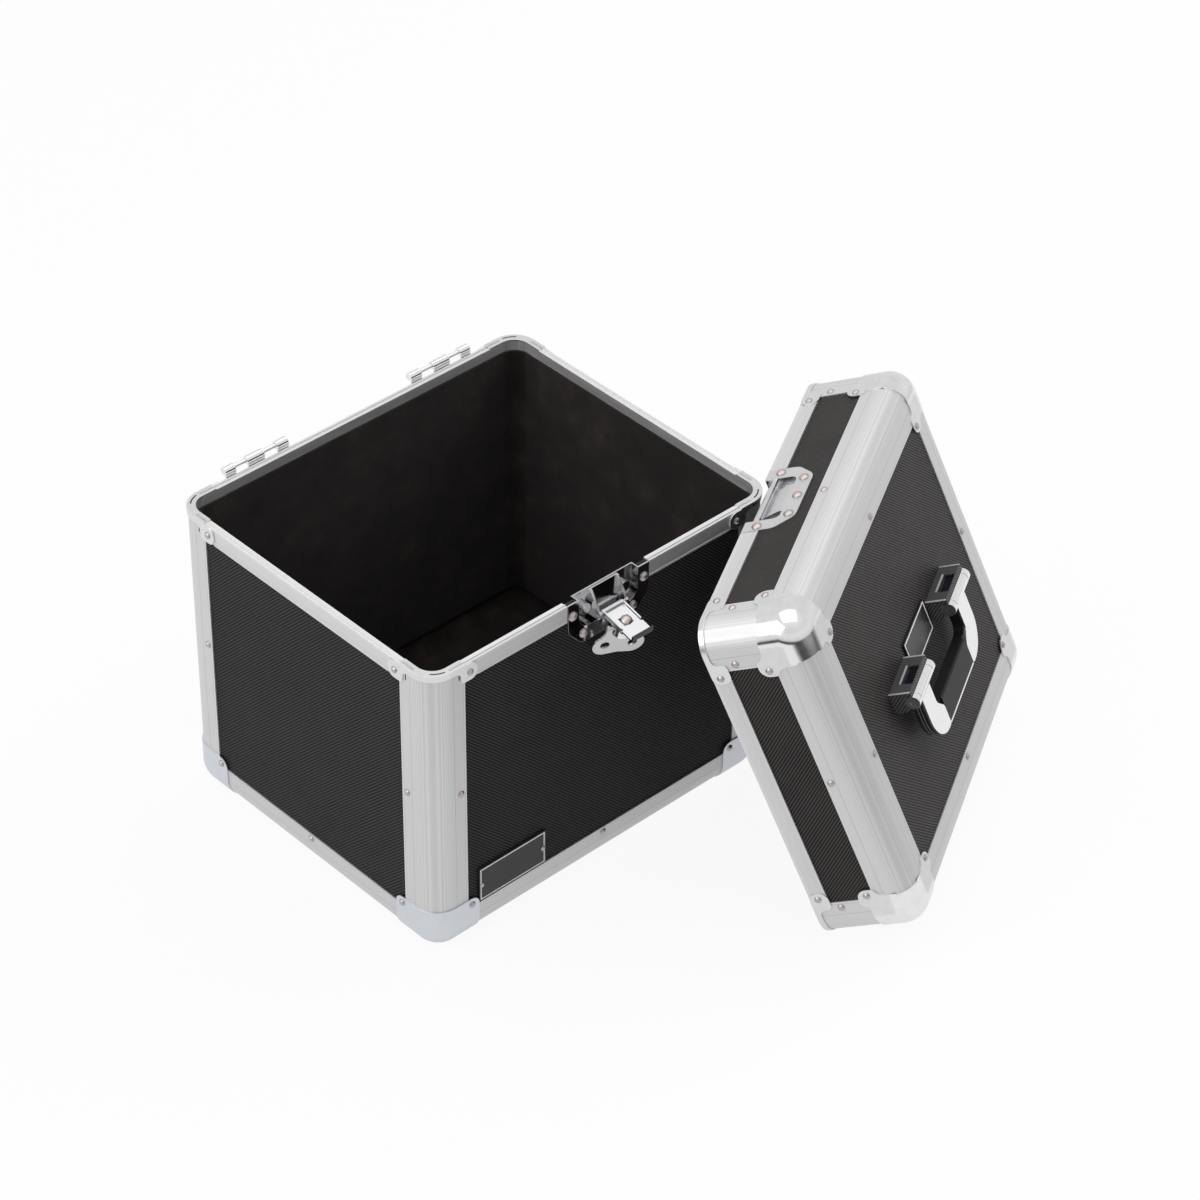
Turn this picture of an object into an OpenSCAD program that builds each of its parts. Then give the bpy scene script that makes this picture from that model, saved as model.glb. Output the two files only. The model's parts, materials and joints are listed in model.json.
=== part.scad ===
// Record carrying case: a deep box with a lift-off lid that leans against it.
// Millimetres, +Z up. The origin is the middle of the case on the floor.
// The front, with the latch, faces -Y. The lid is drawn in its own frame first:
// origin in the middle of its open rim, +Z towards its top, latch side at -Y.

/* [Case and lid] */
// Width of case and lid over the metal edges
case_w = 390; // [370:1:420]
// Depth of case and lid over the metal edges
case_d = 329.5; // [310:0.5:350]
// Height of the open rim of the case above the floor
case_h = 305.4; // [280:0.1:330]
// Height of the lid from its rim to its top
lid_h = 94.2; // [90:0.1:120]
// Thickness of the laminated panels
panel_t = 5; // [4:0.5:7]
// Thickness of the metal edge strips
skin_t = 1.2; // [1:0.1:1.6]
// Thickness of the soft lining
lining_t = 2; // [1.5:0.5:3]

/* [Metal edges] */
// Outer radius of all rounded edges
edge_r = 23; // [18:1:24]
// Width of an edge strip on the posts of the case
leg = 38; // [34:1:42]
// Width of an edge strip on the top and the posts of the lid
lid_leg = 39.6; // [37:0.1:40.6]
// Width of an edge strip on the sides of the lid
lid_side_leg = 36; // [34:0.5:40]
// Width of the upper leg of the bottom edges of the case
foot_leg = 35.4; // [31:0.1:40]
// Height of the rim strip of the case and of the lid
rim_h = 16.5; // [15:0.5:18]
// Height of the tongue that centres the lid on the case
tongue_h = 1.2; // [0.8:0.1:1.2]
// Thickness of corner caps and clamps
cap_t = 1.2; // [1:0.1:1.5]
// Height of the band of a rim clamp round the corner
clamp_band = 5; // [4:0.5:8]
// Length of a corner cap along each edge
cap_len = 41; // [38:1:44]
// Reach of the riveted tab of a corner cap
tab_reach = 50; // [48:1:53]
// Length of a foot along the bottom edges
foot_len = 49.5; // [46:0.5:54]
// Height of a foot along the posts
foot_high = 46; // [44:0.5:52]
// Diameter of a small rivet head
rivet_d = 6.4; // [5:0.2:7]
// Diameter of a large rivet head on the latch plates
big_rivet_d = 9; // [8:0.5:10]

/* [Where the lid leans] */
// Turn of the lid about the vertical, degrees
lid_turn = -149.92; // [-150.3:0.02:-149.5]
// Where the corner of the case meets the lid, from the middle of the lid along its long side
lean_x = -15.18; // [-20:0.02:-10]
// The same, inwards from the upper edge of the lid
lean_in = 4.36; // [2:0.02:6]
// Gap between the corner of the case and the rim plane of the lid
lean_gap = 1.16; // [1:0.02:2]

/* [Latch] */
// Middle of the latch across
latch_x = 2.8; // [-2:0.1:4]
// Half width of the latch plates at the rim
plate_half = 46.5; // [44:0.5:49]
// Height of the latch plates
plate_high = 46.5; // [45:0.5:48]
// Distance of the keeper plate from the upper edge strip of the lid
keeper_clear = 11.7; // [10:0.1:14]
// Half width of the recess
dish_half = 33.5; // [32:0.5:35]
// Depth of the recess behind the front face
dish_deep = 8; // [7:0.5:10]
// Height of the recess below the rim
dish_high = 31; // [29:1:33]
// How far the flap hangs open from its closed place, degrees
flap_open = 104.7; // [90:0.1:110]
// Height of the flap hinge below the rim
flap_drop = 22.5; // [21:0.5:24]
// Distance of the flap hinge in front of the face
flap_out = 4.5; // [4:0.5:5]
// Length of the hook from the hinge to its lip
hook_len = 38.5; // [36:0.5:40]
// Throw of the cam that draws the hook
cam_throw = 1.5; // [1:0.25:1.5]
// Slant of the wing in the open latch, degrees
wing_turn = 24; // [20:1:28]

/* [Handle] */
// Middle of the handle across the lid
handle_x = 1.6; // [-4:0.1:4]
// Distance from the middle of the handle to the middle of a bracket
bracket_mid = 66.4; // [64:0.1:70]
// Length of a bracket
bracket_len = 54; // [48:1:56]
// Height of the handle pivot above the lid
pivot_up = 18; // [16:0.5:20]
// Radius of the pivot barrel
barrel_r = 6.5; // [6:0.5:7]
// Reach of the handle from its pivot
bail_reach = 60; // [56:1:64]
// Width of an arm of the handle
arm_wide = 24; // [20:1:26]
// Depth of the grip
grip_deep = 27; // [24:1:30]

/* [Hinges] */
// Middle of a hinge from the side of the case
hinge_in = 89.5; // [75:0.5:100]
// Distance of the hinge rod behind the rear face
rod_back = 4.7; // [4.5:0.1:5]
// Height of the hinge rod above the rim of the lid
rod_up = 3.2; // [3:0.1:3.6]
// Radius of the hinge rod
rod_r = 2; // [1.8:0.1:2.1]
// Outer radius of the hooks on the lid
hook_r = 3.9; // [3.8:0.1:4]

/* [Hidden] */

e = 0.01;
half_w = case_w / 2;
half_d = case_d / 2;
foot_z = cap_t;
wall_in = skin_t + panel_t;
lip_t = 0.8;
rim_w = wall_in + lip_t;
post_in = edge_r - wall_in;
web_t = 1.5;
tongue_y = 2.3;
tongue_t = 0.8;
fit = 0.05;
hinge_gap = 0.4;
leaf_high = 30;
leaf_t = 1.9;
leaf_off = 0.5;
bracket_back = 11;
bracket_front = 9.5;
bracket_step = 8;
window_wide = 26;
window_high = 10.5;
window_low = 7;
hinge_x = half_w - hinge_in;
rod_y = half_d + rod_back;
rod_z = case_h + cap_t + rod_up;
knuckle_r = 3.75;
hinge_half = 35;
hook_w = 13;
// the lid stands on its hinge hooks and its upper rim leans on the rounded corner of the case:
// on the top of the case, or on the post below it when the lid is too short to reach the top
lean_y = lean_in - half_d;
lean_up = rod_up + lean_gap;
lean_long = norm([rod_y - lean_y, lean_up]);
lid_tilt = -asin(min((case_h + cap_t - hook_r) / lean_long, 0.95)) - atan(lean_up / (rod_y - lean_y));
lid_z = hook_r - rod_y * sin(lid_tilt) - rod_up * cos(lid_tilt);
lean_side = cos(lid_tilt) * lean_y + sin(lid_tilt) * lean_gap - edge_r - cap_t;
lid_x = half_w - edge_r - lean_x * cos(lid_turn) + lean_side * sin(lid_turn);
lid_y = -half_d + edge_r - lean_x * sin(lid_turn) - lean_side * cos(lid_turn);
lip_low = hook_len - flap_drop - 6 - 1.2 - cap_t;
flap_y = -half_d - flap_out;
flap_z = case_h - flap_drop;
pin_r = 1.5;
cam_z = 17.5;
cam_x = -1.5;
cam_start = 22.5;
cam_r = 4;
shaft_r = 2.2;
drum_r = 7.5;
drum_t = 12;
wing_t = 1.8;
wing_pin_at = 8;
bail_z = lid_h + pivot_up;

// corner rounding of an outline: each point gets an arc of its own radius
function unit(v) = v / norm(v);
function arc_at(a, p, b, r, n) =
  let (
    u = unit(a - p),
    v = unit(b - p),
    half = acos(u * v) / 2,
    c = p + unit(u + v) * r / sin(half),
    s = p + u * r / tan(half) - c,
    f = p + v * r / tan(half) - c,
    a0 = atan2(s[1], s[0]),
    raw = atan2(f[1], f[0]) - a0,
    turn = raw > 180 ? raw - 360 : raw < -180 ? raw + 360 : raw
  )
  [for (i = [0:n]) c + r * [cos(a0 + turn * i / n), sin(a0 + turn * i / n)]];
function rounded(pts, radii, n = 6) =
  let (k = len(pts))
  [for (i = [0:k - 1]) each (radii[i] == 0 ? [pts[i]]
    : arc_at(pts[(i + k - 1) % k], pts[i], pts[(i + 1) % k], radii[i], n))];
function mirrored(pts) = [for (i = [len(pts) - 1:-1:0]) [-pts[i][0], pts[i][1]]];

// frames of the moving parts
module lid_frame() {
  translate([lid_x, lid_y, lid_z]) rotate([lid_tilt, 0, lid_turn]) children();
}
module flap_frame() {
  translate([latch_x, flap_y, flap_z]) rotate([flap_open, 0, 0]) children();
}
module wing_frame() {
  translate([cam_x, 0, cam_z]) rotate([0, -wing_turn, 0]) children();
}

// stands an outline of x and z upright, from y0 to y1
module upright(y0, y1) {
  translate([0, y1, 0]) rotate([90, 0, 0]) linear_extrude(y1 - y0) children();
}
// the same piece at one of the four upright edges of a box
module at_corner(sx, sy) {
  translate([sx * half_w, sy * half_d, 0]) mirror([sx > 0 ? 1 : 0, 0, 0])
    mirror([0, sy > 0 ? 1 : 0, 0]) children();
}
module at_all_corners() {
  for (sx = [-1, 1], sy = [-1, 1]) at_corner(sx, sy) children();
}

// rectangle from the origin with that one corner rounded
module corner_2d(a, b, r) {
  intersection() {
    translate([r, r]) circle(r, $fn = 96);
    square([r, r]);
  }
  translate([r, 0]) square([a - r, b]);
  translate([0, r]) square([r, b - r]);
}
module angle_2d(a, b) {
  difference() {
    corner_2d(a, b, edge_r);
    translate([skin_t, skin_t]) corner_2d(a, b, edge_r - skin_t);
  }
}
module bar_2d() {
  intersection() {
    difference() {
      translate([edge_r, edge_r]) circle(edge_r, $fn = 96);
      translate([edge_r, edge_r]) circle(post_in, $fn = 96);
    }
    square([edge_r, edge_r]);
  }
}
// rounded bar with a thin leg along each face
module edge_2d(flat_leg, face_leg) {
  angle_2d(flat_leg, face_leg);
  bar_2d();
}
// corner of a box with all three edges rounded by r, as long as size
module block_corner(r, size) {
  translate([r, r, r]) sphere(r, $fn = 96);
  translate([r, r, r]) cylinder(h = size - r, r = r, $fn = 96);
  translate([r, r, r]) rotate([0, 90, 0]) cylinder(h = size - r, r = r, $fn = 96);
  translate([r, r, r]) rotate([-90, 0, 0]) cylinder(h = size - r, r = r, $fn = 96);
  translate([r, r, 0]) cube([size - r, size - r, size]);
  translate([r, 0, r]) cube([size - r, size, size - r]);
  translate([0, r, r]) cube([size, size - r, size - r]);
}
// outline of one face of a corner cap of the lid, with its riveted tab
module cap_face() {
  polygon(rounded(
    [[-5, -5], [cap_len, -5], [cap_len + 2, 30], [tab_reach, 35],
     [tab_reach, tab_reach], [35, tab_reach], [30, cap_len + 2], [-5, cap_len]],
    [0, 0, 6, 4, 9, 4, 6, 0]));
}
// outline of one face of a foot
module foot_face(high) {
  polygon(rounded([[-5, -5], [foot_len, -5], [foot_len, high], [-5, high]], [0, 0, 9, 0]));
}
// lays the first outline on the underside and the second on both upright faces
module on_three_faces() {
  translate([0, 0, -5]) linear_extrude(5) children(0);
  translate([-5, 0, 0]) rotate([90, 0, 90]) linear_extrude(5) children(1);
  upright(-5, 0) children(1);
}
// three-faced corner cap, closed behind by a thick ball corner
module corner_cap(along, up) {
  big = max(foot_len, tab_reach) + 2;
  difference() {
    intersection() {
      translate([-cap_t, -cap_t, -cap_t]) block_corner(edge_r + cap_t, big);
      union() {
        translate([-5, -5, -5]) cube([edge_r + 5, edge_r + 5, up + 5]);
        translate([-5, -5, -5]) cube([along + 5, edge_r + 5, edge_r + 5]);
        translate([-5, -5, -5]) cube([edge_r + 5, along + 5, edge_r + 5]);
        children();
      }
    }
    difference() {
      block_corner(edge_r, big);
      difference() {
        cube([edge_r, edge_r, edge_r]);
        translate([edge_r, edge_r, edge_r]) sphere(post_in, $fn = 96);
      }
    }
  }
}
// clamp that wraps the rim at a corner: a low band, two riveted tabs and a top plate
module rim_clamp(high, tab_from) {
  reach = tab_reach + 1;
  difference() {
    union() {
      for (flip = [0, 1]) {
        mirror([flip, -flip, 0]) translate([0, -cap_t, 0])
          upright(0, cap_t) polygon(rounded(
            [[edge_r, -clamp_band], [tab_from, -clamp_band], [tab_from, -high], [reach, -high],
             [reach, 0], [edge_r, 0]], [0, 6, 4, 7, 7, 0]));
      }
      translate([0, 0, -clamp_band]) linear_extrude(clamp_band) intersection() {
        difference() {
          translate([edge_r, edge_r]) circle(edge_r + cap_t, $fn = 96);
          translate([edge_r, edge_r]) circle(edge_r, $fn = 96);
        }
        translate([-5, -5]) square([edge_r + 5, edge_r + 5]);
      }
      translate([-cap_t, -cap_t, 0]) linear_extrude(cap_t) difference() {
        corner_2d(leg + cap_t, leg + cap_t, edge_r + cap_t);
        translate([rim_w + cap_t, rim_w + cap_t]) corner_2d(leg, leg, edge_r - rim_w);
      }
    }
    translate([tongue_y - 0.5, tongue_y - 0.5, -e]) linear_extrude(tongue_h + 0.4) difference() {
      corner_2d(leg + 5, leg + 5, edge_r - tongue_y + 0.5);
      translate([tongue_t + 1, tongue_t + 1]) corner_2d(leg + 5, leg + 5, edge_r - tongue_y - tongue_t - 0.5);
      square([edge_r - tongue_y + 0.5 + e, edge_r - tongue_y + 0.5 + e]);
    }
  }
}
module rivet(d = rivet_d) {
  dome = d * 0.3;
  ball = (d * d / 4 + dome * dome) / (2 * dome);
  rotate_extrude($fn = 32) intersection() {
    translate([0, dome - ball]) circle(ball, $fn = 64);
    square([d / 2, dome]);
  }
}
// rivets on one face of a box corner: the list holds [along, up, height off the face]
module face_rivets(list) {
  for (p = list) translate([p[0], -p[2], p[1]]) rotate([90, 0, 0]) rivet();
}
module both_faces() {
  children();
  mirror([1, -1, 0]) children();
}

// rim strip along x from x0 to x1 on the face y = 0, top at z = 0, of a box 2 * half long;
// its face stops at the posts, the lip along its lower edge at the corner clamps
clamp_end = tab_reach + 1.2;
module rim_strip(x0, x1, tongue, half, post_leg) {
  lip_0 = max(x0, clamp_end - half);
  lip_1 = min(x1, half - clamp_end);
  face_0 = max(x0, post_leg - half);
  face_1 = min(x1, half - post_leg);
  translate([face_0, 0, -rim_h]) cube([face_1 - face_0, skin_t, rim_h]);
  difference() {
    translate([x0, 0, -web_t]) cube([x1 - x0, rim_w, web_t]);
    if (!tongue) translate([x0 - 1, tongue_y - 0.2, -tongue_h - 0.2]) cube([x1 - x0 + 2, tongue_t + 0.4, 2]);
  }
  translate([x0, wall_in, -10]) cube([x1 - x0, lip_t, 10]);
  if (tongue) translate([x0, tongue_y, -e]) cube([x1 - x0, tongue_t, tongue_h + e]);
  translate([lip_0, -0.5, -rim_h]) cube([lip_1 - lip_0, 0.5 + e, 1.6]);
}
// outline of the latch plates, x and z measured from the rim, z growing away from it
module plate_2d(high) {
  side = [[plate_half, 0], [plate_half - 0.8, high - 17], [plate_half - 15.5, high]];
  polygon(rounded(concat(side, mirrored(side)), [0, 12, 12, 12, 12, 0]));
}
module dish_2d(grow, top) {
  side = [[dish_half + grow, top], [dish_half + grow, -dish_high - grow]];
  polygon(rounded(concat(side, mirrored(side)), [0, 12 + grow, 12 + grow, 0]));
}

// case, its panels and lining
module case_bottom_panel() {
  color("dimgray") translate([-half_w + edge_r, -half_d + edge_r, foot_z + skin_t])
    cube([case_w - 2 * edge_r, case_d - 2 * edge_r, panel_t]);
}
module long_panel(low, high) {
  translate([-half_w + edge_r, -half_d + skin_t, low]) cube([case_w - 2 * edge_r, panel_t, high - low]);
}
module short_panel(low, high) {
  translate([-half_w + skin_t, -half_d + edge_r, low]) cube([panel_t, case_d - 2 * edge_r, high - low]);
}
wall_low = foot_z + edge_r;
wall_top = case_h - web_t;
module case_front_panel() {
  color("dimgray") difference() {
    long_panel(wall_low, wall_top);
    translate([latch_x, 0, case_h]) upright(-half_d, -half_d + 20) dish_2d(skin_t + 0.3, 1);
  }
}
module case_rear_panel() {
  color("dimgray") mirror([0, 1, 0]) long_panel(wall_low, wall_top);
}
module case_left_panel() {
  color("dimgray") short_panel(wall_low, wall_top);
}
module case_right_panel() {
  color("dimgray") mirror([1, 0, 0]) short_panel(wall_low, wall_top);
}
// upright tube of lining, its outside on the walls, its corners rounded
module lining_tube(low, high) {
  out_x = half_w - wall_in - e;
  out_y = half_d - wall_in - e;
  translate([0, 0, low]) linear_extrude(high - low) difference() {
    polygon(rounded([[-out_x, -out_y], [out_x, -out_y], [out_x, out_y], [-out_x, out_y]],
      [post_in, post_in, post_in, post_in], 10));
    polygon(rounded([[-out_x + lining_t, -out_y + lining_t], [out_x - lining_t, -out_y + lining_t],
      [out_x - lining_t, out_y - lining_t], [-out_x + lining_t, out_y - lining_t]],
      [post_in - lining_t, post_in - lining_t, post_in - lining_t, post_in - lining_t], 10));
  }
}
floor_z = foot_z + wall_in;
module case_wall_lining() {
  color("#2b2622") difference() {
    lining_tube(foot_z + edge_r, case_h - 10.5);
    translate([latch_x, 0, case_h]) upright(-half_d, -half_d + 20) dish_2d(skin_t + 0.6, 1);
  }
}
module case_floor_lining() {
  color("#2b2622") translate([-half_w + edge_r, -half_d + edge_r, floor_z])
    cube([case_w - 2 * edge_r, case_d - 2 * edge_r, lining_t]);
}

// case, its metal edges
module case_post() {
  translate([0, 0, foot_z + edge_r]) linear_extrude(case_h - foot_z - edge_r) bar_2d();
  translate([0, 0, foot_z + foot_leg]) linear_extrude(case_h - web_t - foot_z - foot_leg) angle_2d(leg, leg);
}
module case_post_front_left() { color("gainsboro") at_corner(-1, -1) case_post(); }
module case_post_front_right() { color("gainsboro") at_corner(1, -1) case_post(); }
module case_post_rear_left() { color("gainsboro") at_corner(-1, 1) case_post(); }
module case_post_rear_right() { color("gainsboro") at_corner(1, 1) case_post(); }
// edge bar along x under the front face, with a leg on the face and a leg underneath
module edge_bar(face_leg, flat_leg) {
  translate([-span_x / 2, -half_d, 0]) rotate([90, 0, 90]) linear_extrude(span_x) edge_2d(flat_leg, face_leg);
}
// the same along y; its lower leg ends at the lower legs of the long bars
module edge_bar_side(face_leg, flat_leg) {
  flat_y = case_d - 2 * flat_leg;
  difference() {
    translate([-half_w, span_y / 2, 0]) rotate([90, 0, 0]) linear_extrude(span_y) edge_2d(flat_leg, face_leg);
    for (m = [0, 1]) mirror([0, m, 0]) translate([-half_w + edge_r, flat_y / 2, -1])
      cube([flat_leg, span_y, skin_t + 2]);
  }
}
span_x = case_w - 2 * edge_r;
span_y = case_d - 2 * edge_r;
module case_bottom_edges_long() {
  color("gainsboro") for (m = [0, 1])
    mirror([0, m, 0]) translate([0, 0, foot_z]) edge_bar(foot_leg, foot_leg);
}
module case_bottom_edges_short() {
  color("gainsboro") for (m = [0, 1])
    mirror([m, 0, 0]) translate([0, 0, foot_z]) edge_bar_side(foot_leg, foot_leg);
}
module case_rim_front() {
  color("gainsboro") translate([0, -half_d, case_h]) {
    rim_strip(-half_w + edge_r, latch_x - plate_half - 0.2, true, half_w, leg);
    rim_strip(latch_x + plate_half + 0.2, half_w - edge_r, true, half_w, leg);
  }
}
module case_rim_rear() {
  color("gainsboro") mirror([0, 1, 0]) translate([0, -half_d, case_h])
    rim_strip(-half_w + edge_r, half_w - edge_r, true, half_w, leg);
}
module rim_side(z, tongue, post_leg) {
  translate([-half_w, 0, z]) mirror([1, -1, 0])
    rim_strip(-half_d + edge_r, half_d - edge_r, tongue, half_d, post_leg);
}
module case_rim_left() { color("gainsboro") rim_side(case_h, true, leg); }
module case_rim_right() { color("gainsboro") mirror([1, 0, 0]) rim_side(case_h, true, leg); }
module case_rim_clamps() {
  color("silver") at_all_corners() translate([0, 0, case_h]) rim_clamp(rim_h + 1, leg - 5);
}
module case_foot() {
  translate([0, 0, foot_z]) corner_cap(foot_len, foot_high) on_three_faces() {
    foot_face(foot_len);
    foot_face(foot_high);
  }
}
module case_foot_front_left() { color("lightsteelblue") at_corner(-1, -1) case_foot(); }
module case_foot_front_right() { color("lightsteelblue") at_corner(1, -1) case_foot(); }
module case_foot_rear_left() { color("lightsteelblue") at_corner(-1, 1) case_foot(); }
module case_foot_rear_right() { color("lightsteelblue") at_corner(1, 1) case_foot(); }

// heights and places of the rivets of the case
clamp_rivet = [42.9, 9.3];
post_rivet = [31.9, 170];
foot_rivet = [41.5, 40.4];
badge_x = -half_w + foot_len + 0.3;
badge_w = 76.4;
badge_low = 38.2;
badge_high = 36.3;
module case_rivets() {
  color("rosybrown") {
    at_all_corners() both_faces() face_rivets([
      [clamp_rivet[0], case_h - clamp_rivet[1], cap_t],
      [post_rivet[0], post_rivet[1], 0],
      [foot_rivet[0], foot_rivet[1], cap_t]]);
    for (m = [0, 1]) {
      mirror([0, m, 0]) translate([0, -half_d, foot_z + 30.2]) rotate([90, 0, 0]) rivet();
      mirror([m, 0, 0]) translate([-half_w, 0, foot_z + 30.2]) rotate([0, -90, 0]) rivet();
    }
    for (x = [3, badge_w - 3.2]) translate([badge_x + x, -half_d - 0.8, badge_low + 17.3])
      rotate([90, 0, 0]) rivet(4.8);
    plate_rivets(latch_x, -half_d - 0.4, case_h, -1, [[-40.6, 13], [-28.3, 37], [40.6, 13], [28.3, 37]]);
  }
}
// large rivets on a latch plate, counted away from the rim
module plate_rivets(x, y, z, way, list) {
  for (p = list) translate([x + p[0], y, z + way * p[1]]) rotate([90, 0, 0]) rivet(big_rivet_d);
}
module case_badge_plate() {
  color("#303030") translate([badge_x, -half_d - 0.8, badge_low]) cube([badge_w, 0.8 + skin_t, badge_high]);
}

// latch on the case
module latch_dish() {
  color("silver") translate([latch_x, 0, case_h]) difference() {
    union() {
      mirror([0, 0, 1]) upright(-half_d - 0.4, -half_d + skin_t) plate_2d(plate_high);
      upright(-half_d, -half_d + dish_deep + skin_t) dish_2d(skin_t, 0);
    }
    upright(-half_d - 5, -half_d + dish_deep) dish_2d(0, 5);
  }
}
// bracket in the recess: sloping plate between two cheeks, bosses beside them
module latch_base() {
  back = -half_d + dish_deep;
  low = flap_z - 4.5;
  color("silver") translate([latch_x, 0, 0]) {
    difference() {
      for (s = [-1, 1]) translate([s * 15.2 - 1.2, 0, 0]) rotate([90, 0, 90]) linear_extrude(2.4)
        polygon([[back, case_h - 1], [back, low], [flap_y - 1, low], [flap_y - 3.2, flap_z - 2],
          [flap_y - 3.2, flap_z + 2], [flap_y - 1, flap_z + 4], [back - 3, case_h - 1]]);
      translate([-20, flap_y, flap_z]) rotate([0, 90, 0]) cylinder(h = 40, r = pin_r + 0.03, $fn = 32);
    }
    translate([-14.2, 0, 0]) rotate([90, 0, 90]) linear_extrude(28.4)
      polygon([[back, case_h - 1], [back, case_h - 3], [-half_d + 1.5, low], [-half_d, low],
        [back - 1.8, case_h - 1]]);
    for (s = [-1, 1])
      translate([s * 22.4, back, case_h - 17]) rotate([90, 0, 0]) cylinder(h = 4.5, r = 5.4, $fn = 48);
  }
}
module latch_hinge_pin() {
  color("silver") translate([latch_x - 16.6, flap_y, flap_z]) rotate([0, 90, 0])
    cylinder(h = 33.2, r = pin_r, $fn = 32);
}
// channel that swings on the hinge pin, drawn closed: upright, inside towards +Y
carrier_half = 11.8;
carrier_len = 23.5;
carrier_floor = cam_z + 9;
module latch_carrier() {
  color("whitesmoke") flap_frame() difference() {
    union() {
      translate([-carrier_half, -1.6, 2.4]) cube([2 * carrier_half, 1.6, carrier_floor - 2.4]);
      for (s = [0, 1]) mirror([s, 0, 0]) {
        translate([carrier_half - 1.4, -1.6, 2]) cube([1.4, 5, carrier_len - 2]);
      }
      rotate([0, 90, 0]) cylinder(h = 2 * carrier_half, r = 2.6, center = true, $fn = 40);
      translate([-carrier_half, -1.6, 0]) cube([2 * carrier_half, 1.6, 3]);
    }
    translate([-20, 0, 0]) rotate([0, 90, 0]) cylinder(h = 40, r = pin_r + fit, $fn = 32);
    translate([cam_x, -5, cam_z]) rotate([-90, 0, 0]) cylinder(h = 10, r = shaft_r + fit, $fn = 48);
  }
}
// hook plate that the cam draws along the channel
module latch_hook() {
  half = carrier_half - 1.4 - 0.4;
  stroke = 2 * cam_throw * sin(cam_start);
  slot_z = cam_z + cam_throw * sin(cam_start);
  color("whitesmoke") flap_frame() difference() {
    union() {
      translate([-half, 0.35, 6]) cube([2 * half, 1.8, hook_len - 6]);
      translate([-carrier_half, 0.35, carrier_len + stroke + 0.5])
        cube([2 * carrier_half, 1.8, hook_len - carrier_len - stroke - 0.5]);
      translate([-carrier_half, 0.35, hook_len - 1.8]) cube([2 * carrier_half, 6, 1.8]);
    }
    translate([cam_x - cam_r - 0.5, -5, slot_z - cam_r - hinge_gap])
      cube([2 * cam_r + cam_throw + 1, 10, 2 * (cam_r + hinge_gap)]);
  }
}
// shaft through the channel, with an eccentric cam in the slot of the hook and a drum outside
module latch_cam() {
  side = cam_throw * cos(cam_start);
  along = cam_throw * sin(cam_start);
  color("silver") flap_frame() difference() {
    translate([cam_x, 0, cam_z]) rotate([90, 0, 0]) {
      translate([0, 0, -0.3 - e]) cylinder(h = 2.3 + 2 * e, r = shaft_r, $fn = 48);
      translate([side, along, -2.5]) cylinder(h = 2.2, r = cam_r, $fn = 48);
      translate([side, along, -2.5]) mirror([0, 0, 1]) rivet(2 * cam_r + 2.4);
      translate([0, 0, 2]) cylinder(h = drum_t, r = drum_r, $fn = 48);
    }
    wing_frame() translate([-20, -wing_pin_at, 0]) rotate([0, 90, 0]) cylinder(h = 40, r = 1.1 + fit, $fn = 32);
  }
}
// folding wing on a pin through the drum: two lobes with holes, an arch around the drum
module wing_2d() {
  difference() {
    union() {
      polygon([[-14.2, -4], [14.2, -4], [14.2, -14], [19, -22], [12.3, -39.8], [0, -38.4],
        [-12.3, -39.8], [-19, -22], [-14.2, -14]]);
      for (s = [-1, 1]) translate([s * 12.3, -29]) circle(10.8, $fn = 64);
    }
    translate([-9, -10]) square([18, 12]);
    translate([0, -10]) circle(9, $fn = 64);
    for (s = [-1, 1]) translate([s * 12.3, -28]) circle(4.1, $fn = 48);
  }
}
module latch_wing() {
  color("silver") flap_frame() wing_frame() {
    translate([0, 0, -wing_t / 2]) linear_extrude(wing_t) wing_2d();
    translate([-14.1, -wing_pin_at, 0]) rotate([0, 90, 0]) cylinder(h = 28.2, r = 1.1, $fn = 32);
    for (s = [-1, 1]) translate([s * 11.6 - 2.4, -wing_pin_at, 0]) rotate([0, 90, 0])
      cylinder(h = 4.8, r = 2, $fn = 32);
  }
}

// lift-off hinge halves on the rear of the case
rod_half = hinge_half - 0.2;
knuckles = [[-rod_half, -23.6], [-10.1, 8.2], [22.7, hinge_half]];
module case_hinge(side) {
  translate([side * hinge_x, 0, 0]) mirror([side > 0 ? 1 : 0, 0, 0]) difference() {
    union() {
      translate([-hinge_half, half_d + leaf_off, case_h - leaf_high - 4])
        cube([2 * hinge_half, leaf_t, leaf_high]);
      for (k = knuckles) {
        translate([k[0], half_d + leaf_off, case_h - 5]) cube([k[1] - k[0], leaf_t, rod_z - case_h + 5]);
        translate([k[0], rod_y, rod_z]) rotate([0, 90, 0]) cylinder(h = k[1] - k[0], r = knuckle_r, $fn = 48);
      }
    }
    translate([-hinge_half - 1, rod_y, rod_z]) rotate([0, 90, 0])
      cylinder(h = 2 * hinge_half + 2, r = rod_r + 0.03, $fn = 32);
  }
}
module case_hinge_left() { color("silver") case_hinge(-1); }
module case_hinge_right() { color("silver") case_hinge(1); }
module case_hinge_rods() {
  color("silver") for (s = [-1, 1]) translate([s * hinge_x - rod_half, rod_y, rod_z])
    rotate([0, 90, 0]) cylinder(h = 2 * rod_half, r = rod_r, $fn = 32);
}

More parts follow.
